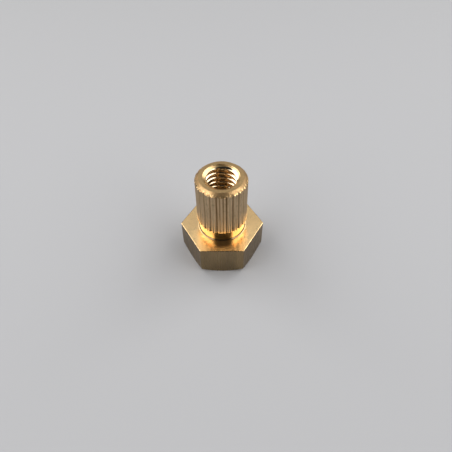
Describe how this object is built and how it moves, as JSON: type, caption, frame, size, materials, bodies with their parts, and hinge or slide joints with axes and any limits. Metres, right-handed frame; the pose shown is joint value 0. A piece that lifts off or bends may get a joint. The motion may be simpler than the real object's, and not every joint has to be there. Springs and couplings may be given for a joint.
{
  "type": "tapped insert",
  "caption": "Brass insert in one piece: hexagonal head, undercut neck and straight-knurled shank, tapped right through for an M6 screw.",
  "frame": {"origin": "centre of the flat underside of the hexagonal head, on the axis of the hole", "axes": "+Z along the hole's axis, from the head up the knurled shank; two flats of the head face -Y and +Y, two corners point along X"},
  "size_m": [0.015, 0.013, 0.0174],
  "materials": {
    "brass": "bright as-turned brass, drawn flats on the head"
  },
  "bodies": {
    "root": {"tapped_insert": "brass"}
  },
  "joints": []
}
